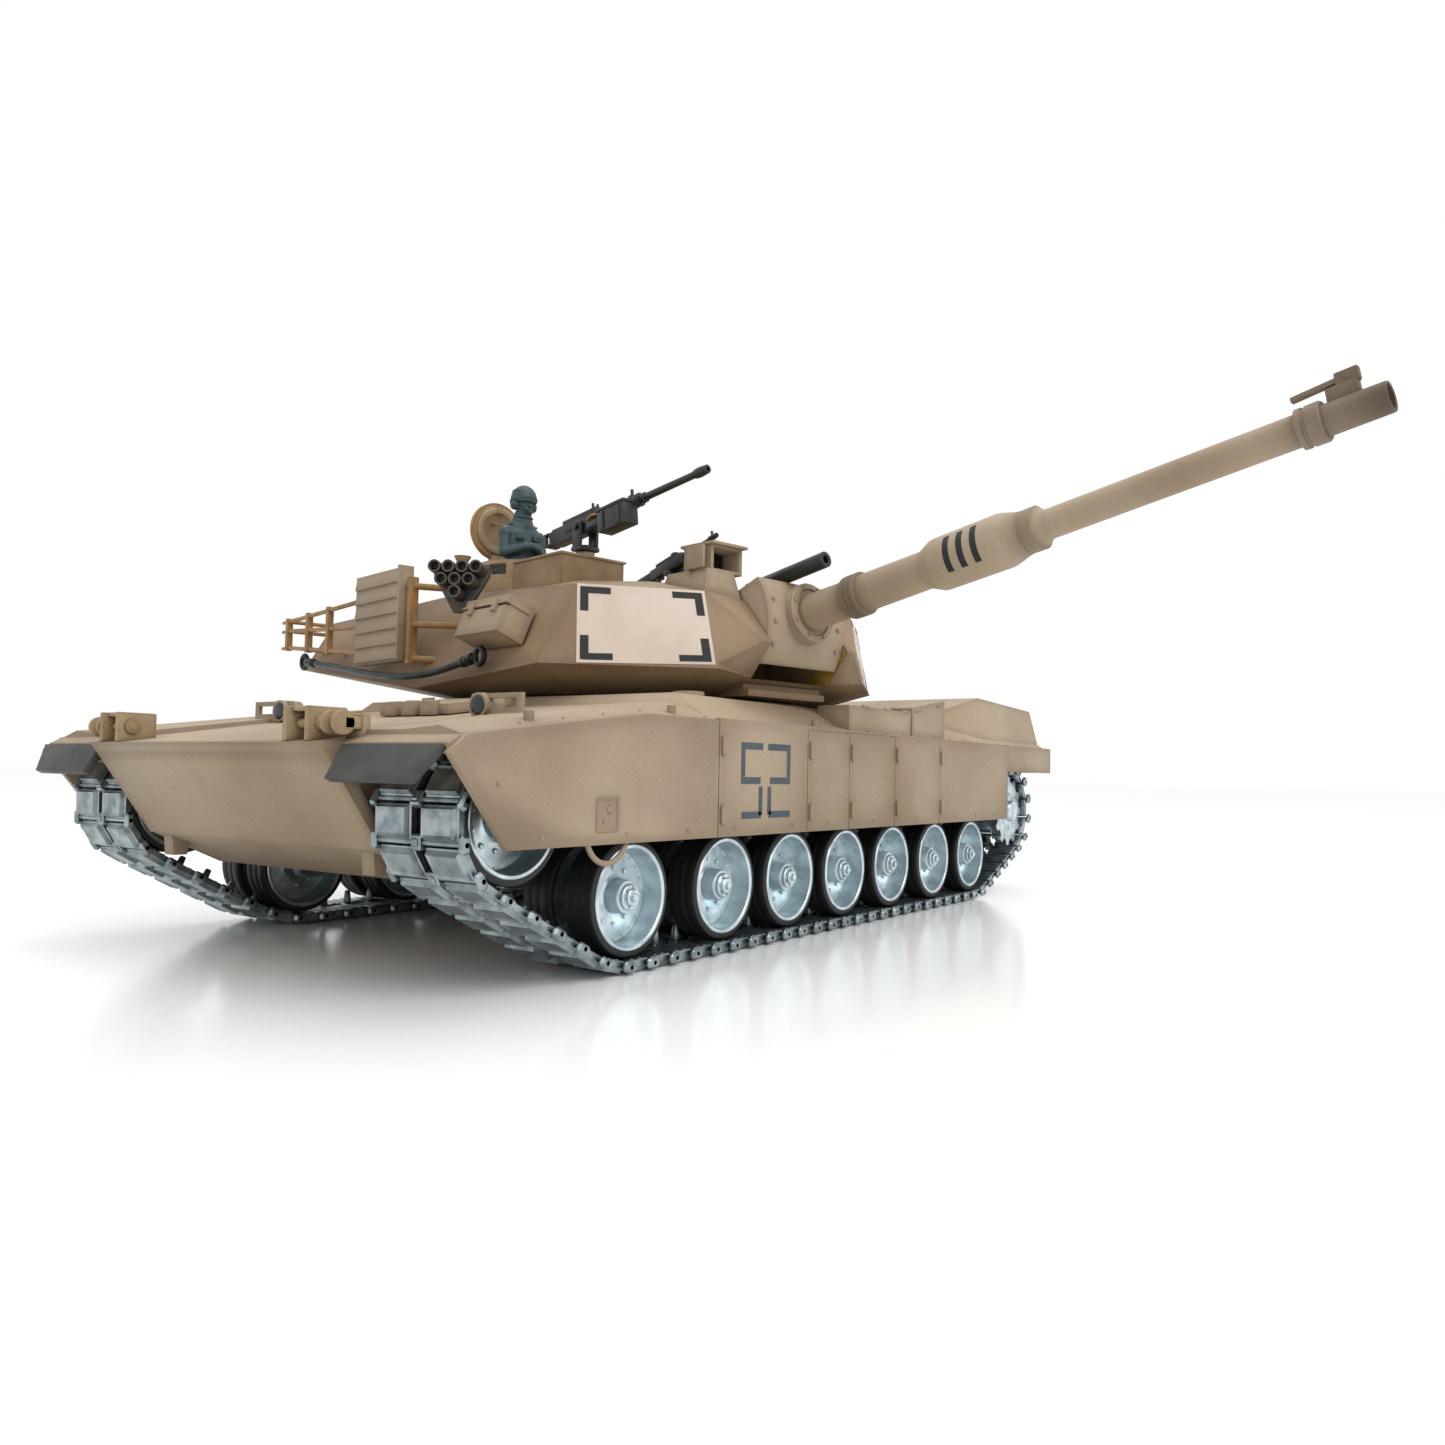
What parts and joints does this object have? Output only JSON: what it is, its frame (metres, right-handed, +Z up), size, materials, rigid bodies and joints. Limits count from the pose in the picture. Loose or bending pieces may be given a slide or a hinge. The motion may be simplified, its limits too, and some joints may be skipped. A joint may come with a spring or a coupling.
{
  "type": "rc tank",
  "caption": "Tracked radio-controlled model tank: low hull on twin tracks with skirted road wheels, rotating faceted turret with a raised long gun, roof machine guns, hatches and stowage racks.",
  "frame": {"origin": "on the ground, centred between the tracks, midway between the first and last road wheels", "axes": "+X towards the front of the hull, +Y towards its left side, +Z up"},
  "size_m": [0.4844, 0.5228, 0.2036],
  "materials": {
    "sand_paint": "satin",
    "ochre": "satin",
    "zinc": "cast",
    "flap_rubber": "matt",
    "gun_black": "satin",
    "figure": "matt",
    "electronics": "matt",
    "motor_steel": "brushed",
    "cable": "satin",
    "battery": "gloss"
  },
  "bodies": {
    "hull": {"lower_hull": "sand_paint", "upper_hull": "sand_paint", "side_skirt_left": "sand_paint", "side_skirt_right": "sand_paint", "front_mudflaps": "flap_rubber", "front_tow_shackles": "sand_paint", "rear_grille": "sand_paint", "battery_cover": "sand_paint", "battery_pack": "battery", "control_board": "electronics", "drive_gearboxes": "motor_steel", "traverse_motor": "motor_steel", "speaker": "motor_steel", "track_left": "zinc", "track_right": "zinc", "swing_arms_left": "zinc", "swing_arms_right": "zinc"},
    "turret": {"turret_shell": "sand_paint", "turret_base": "sand_paint", "roof_fittings": "sand_paint", "bustle_racks": "ochre", "stowage_boxes": "sand_paint", "smoke_launchers": "gun_black", "sight_housing": "sand_paint", "commander_cupola": "sand_paint", "commander_figure": "figure", "tow_cable": "cable", "tow_cable_eyes": "cable", "elevation_motor": "motor_steel"},
    "gun": {"gun_mantlet": "sand_paint", "gun_barrel": "sand_paint", "mantlet_gun": "gun_black"},
    "commander_hatch": {"commander_hatch": "sand_paint"},
    "loader_hatch": {"loader_hatch": "sand_paint"},
    "driver_hatch": {"driver_hatch": "sand_paint"},
    "heavy_mg_cradle": {"heavy_mg_cradle": "gun_black"},
    "heavy_mg": {"heavy_mg": "gun_black"},
    "light_mg": {"light_mg": "gun_black"},
    "sprocket_left": {"sprocket_left": "zinc"},
    "idler_left": {"idler_left": "zinc"},
    "road_wheel_left_1": {"road_wheel_left_1": "zinc"},
    "road_wheel_left_2": {"road_wheel_left_2": "zinc"},
    "road_wheel_left_3": {"road_wheel_left_3": "zinc"},
    "road_wheel_left_4": {"road_wheel_left_4": "zinc"},
    "road_wheel_left_5": {"road_wheel_left_5": "zinc"},
    "road_wheel_left_6": {"road_wheel_left_6": "zinc"},
    "road_wheel_left_7": {"road_wheel_left_7": "zinc"},
    "return_roller_left_1": {"return_roller_left_1": "zinc"},
    "return_roller_left_2": {"return_roller_left_2": "zinc"},
    "sprocket_right": {"sprocket_right": "zinc"},
    "idler_right": {"idler_right": "zinc"},
    "road_wheel_right_1": {"road_wheel_right_1": "zinc"},
    "road_wheel_right_2": {"road_wheel_right_2": "zinc"},
    "road_wheel_right_3": {"road_wheel_right_3": "zinc"},
    "road_wheel_right_4": {"road_wheel_right_4": "zinc"},
    "road_wheel_right_5": {"road_wheel_right_5": "zinc"},
    "road_wheel_right_6": {"road_wheel_right_6": "zinc"},
    "road_wheel_right_7": {"road_wheel_right_7": "zinc"},
    "return_roller_right_1": {"return_roller_right_1": "zinc"},
    "return_roller_right_2": {"return_roller_right_2": "zinc"}
  },
  "joints": [
    {"name": "turret_traverse", "type": "hinge", "parent": "hull", "child": "turret", "pos_m": [0.0084, 0, 0.092], "axis": [0, 0, 1], "continuous": true},
    {"name": "gun_elevation", "type": "hinge", "parent": "turret", "child": "gun", "pos_m": [0.02287, 0.07114, 0.1285], "axis": [0.9799, -0.1994, 0], "range_deg": [-13.6, 9.4]},
    {"name": "commander_hatch_hinge", "type": "hinge", "parent": "turret", "child": "commander_hatch", "pos_m": [0.05007, -0.06603, 0.1641], "axis": [-0.9799, 0.1994, 0], "range_deg": [-4, 16]},
    {"name": "loader_hatch_hinge", "type": "hinge", "parent": "turret", "child": "loader_hatch", "pos_m": [-0.04497, -0.03159, 0.1524], "axis": [0.9799, -0.1994, 0], "range_deg": [0, 95]},
    {"name": "driver_hatch_pivot", "type": "hinge", "parent": "hull", "child": "driver_hatch", "pos_m": [0.12611, -0.022, 0.0901], "axis": [0.1476, 0, 0.989], "range_deg": [-90, 0]},
    {"name": "heavy_mg_traverse", "type": "hinge", "parent": "turret", "child": "heavy_mg_cradle", "pos_m": [0.0647, 0.00589, 0.1635], "axis": [0, 0, 1], "range_deg": [-20, 20]},
    {"name": "heavy_mg_elevation", "type": "hinge", "parent": "heavy_mg_cradle", "child": "heavy_mg", "pos_m": [0.0647, 0.00589, 0.175], "axis": [0.9799, -0.1994, 0], "range_deg": [-12, 8]},
    {"name": "light_mg_traverse", "type": "hinge", "parent": "turret", "child": "light_mg", "pos_m": [-0.00985, -0.00445, 0.158], "axis": [0, 0, 1], "range_deg": [-10, 45]},
    {"name": "sprocket_left_spin", "type": "hinge", "parent": "hull", "child": "sprocket_left", "pos_m": [-0.202, 0.0892, 0.047], "axis": [0, 1, 0], "continuous": true},
    {"name": "idler_left_spin", "type": "hinge", "parent": "hull", "child": "idler_left", "pos_m": [0.19906, 0.0892, 0.0515], "axis": [0, 1, 0], "continuous": true},
    {"name": "road_wheel_left_1_spin", "type": "hinge", "parent": "hull", "child": "road_wheel_left_1", "pos_m": [0.1455, 0.0892, 0.0245], "axis": [0, 1, 0], "continuous": true},
    {"name": "road_wheel_left_2_spin", "type": "hinge", "parent": "hull", "child": "road_wheel_left_2", "pos_m": [0.0915, 0.0892, 0.0245], "axis": [0, 1, 0], "continuous": true},
    {"name": "road_wheel_left_3_spin", "type": "hinge", "parent": "hull", "child": "road_wheel_left_3", "pos_m": [0.0455, 0.0892, 0.0245], "axis": [0, 1, 0], "continuous": true},
    {"name": "road_wheel_left_4_spin", "type": "hinge", "parent": "hull", "child": "road_wheel_left_4", "pos_m": [-0.0005, 0.0892, 0.0245], "axis": [0, 1, 0], "continuous": true},
    {"name": "road_wheel_left_5_spin", "type": "hinge", "parent": "hull", "child": "road_wheel_left_5", "pos_m": [-0.0465, 0.0892, 0.0245], "axis": [0, 1, 0], "continuous": true},
    {"name": "road_wheel_left_6_spin", "type": "hinge", "parent": "hull", "child": "road_wheel_left_6", "pos_m": [-0.0945, 0.0892, 0.0245], "axis": [0, 1, 0], "continuous": true},
    {"name": "road_wheel_left_7_spin", "type": "hinge", "parent": "hull", "child": "road_wheel_left_7", "pos_m": [-0.1425, 0.0892, 0.0245], "axis": [0, 1, 0], "continuous": true},
    {"name": "return_roller_left_1_spin", "type": "hinge", "parent": "hull", "child": "return_roller_left_1", "pos_m": [0.0685, 0.0892, 0.06127], "axis": [0, 1, 0], "continuous": true},
    {"name": "return_roller_left_2_spin", "type": "hinge", "parent": "hull", "child": "return_roller_left_2", "pos_m": [-0.0705, 0.0892, 0.05994], "axis": [0, 1, 0], "continuous": true},
    {"name": "sprocket_right_spin", "type": "hinge", "parent": "hull", "child": "sprocket_right", "pos_m": [-0.202, -0.0892, 0.047], "axis": [0, 1, 0], "continuous": true},
    {"name": "idler_right_spin", "type": "hinge", "parent": "hull", "child": "idler_right", "pos_m": [0.19906, -0.0892, 0.0515], "axis": [0, 1, 0], "continuous": true},
    {"name": "road_wheel_right_1_spin", "type": "hinge", "parent": "hull", "child": "road_wheel_right_1", "pos_m": [0.1455, -0.0892, 0.0245], "axis": [0, 1, 0], "continuous": true},
    {"name": "road_wheel_right_2_spin", "type": "hinge", "parent": "hull", "child": "road_wheel_right_2", "pos_m": [0.0915, -0.0892, 0.0245], "axis": [0, 1, 0], "continuous": true},
    {"name": "road_wheel_right_3_spin", "type": "hinge", "parent": "hull", "child": "road_wheel_right_3", "pos_m": [0.0455, -0.0892, 0.0245], "axis": [0, 1, 0], "continuous": true},
    {"name": "road_wheel_right_4_spin", "type": "hinge", "parent": "hull", "child": "road_wheel_right_4", "pos_m": [-0.0005, -0.0892, 0.0245], "axis": [0, 1, 0], "continuous": true},
    {"name": "road_wheel_right_5_spin", "type": "hinge", "parent": "hull", "child": "road_wheel_right_5", "pos_m": [-0.0465, -0.0892, 0.0245], "axis": [0, 1, 0], "continuous": true},
    {"name": "road_wheel_right_6_spin", "type": "hinge", "parent": "hull", "child": "road_wheel_right_6", "pos_m": [-0.0945, -0.0892, 0.0245], "axis": [0, 1, 0], "continuous": true},
    {"name": "road_wheel_right_7_spin", "type": "hinge", "parent": "hull", "child": "road_wheel_right_7", "pos_m": [-0.1425, -0.0892, 0.0245], "axis": [0, 1, 0], "continuous": true},
    {"name": "return_roller_right_1_spin", "type": "hinge", "parent": "hull", "child": "return_roller_right_1", "pos_m": [0.0685, -0.0892, 0.06127], "axis": [0, 1, 0], "continuous": true},
    {"name": "return_roller_right_2_spin", "type": "hinge", "parent": "hull", "child": "return_roller_right_2", "pos_m": [-0.0705, -0.0892, 0.05994], "axis": [0, 1, 0], "continuous": true}
  ],
  "couplings": [
    {"joint": "idler_left_spin", "follows": "sprocket_left_spin", "ratio": 1.0288},
    {"joint": "road_wheel_left_1_spin", "follows": "sprocket_left_spin", "ratio": 1.1688},
    {"joint": "road_wheel_left_2_spin", "follows": "sprocket_left_spin", "ratio": 1.1688},
    {"joint": "road_wheel_left_3_spin", "follows": "sprocket_left_spin", "ratio": 1.1688},
    {"joint": "road_wheel_left_4_spin", "follows": "sprocket_left_spin", "ratio": 1.1688},
    {"joint": "road_wheel_left_5_spin", "follows": "sprocket_left_spin", "ratio": 1.1688},
    {"joint": "road_wheel_left_6_spin", "follows": "sprocket_left_spin", "ratio": 1.1688},
    {"joint": "road_wheel_left_7_spin", "follows": "sprocket_left_spin", "ratio": 1.1688},
    {"joint": "return_roller_left_1_spin", "follows": "sprocket_left_spin", "ratio": 2.3852},
    {"joint": "return_roller_left_2_spin", "follows": "sprocket_left_spin", "ratio": 2.3852},
    {"joint": "idler_right_spin", "follows": "sprocket_right_spin", "ratio": 1.0288},
    {"joint": "road_wheel_right_1_spin", "follows": "sprocket_right_spin", "ratio": 1.1688},
    {"joint": "road_wheel_right_2_spin", "follows": "sprocket_right_spin", "ratio": 1.1688},
    {"joint": "road_wheel_right_3_spin", "follows": "sprocket_right_spin", "ratio": 1.1688},
    {"joint": "road_wheel_right_4_spin", "follows": "sprocket_right_spin", "ratio": 1.1688},
    {"joint": "road_wheel_right_5_spin", "follows": "sprocket_right_spin", "ratio": 1.1688},
    {"joint": "road_wheel_right_6_spin", "follows": "sprocket_right_spin", "ratio": 1.1688},
    {"joint": "road_wheel_right_7_spin", "follows": "sprocket_right_spin", "ratio": 1.1688},
    {"joint": "return_roller_right_1_spin", "follows": "sprocket_right_spin", "ratio": 2.3852},
    {"joint": "return_roller_right_2_spin", "follows": "sprocket_right_spin", "ratio": 2.3852}
  ]
}
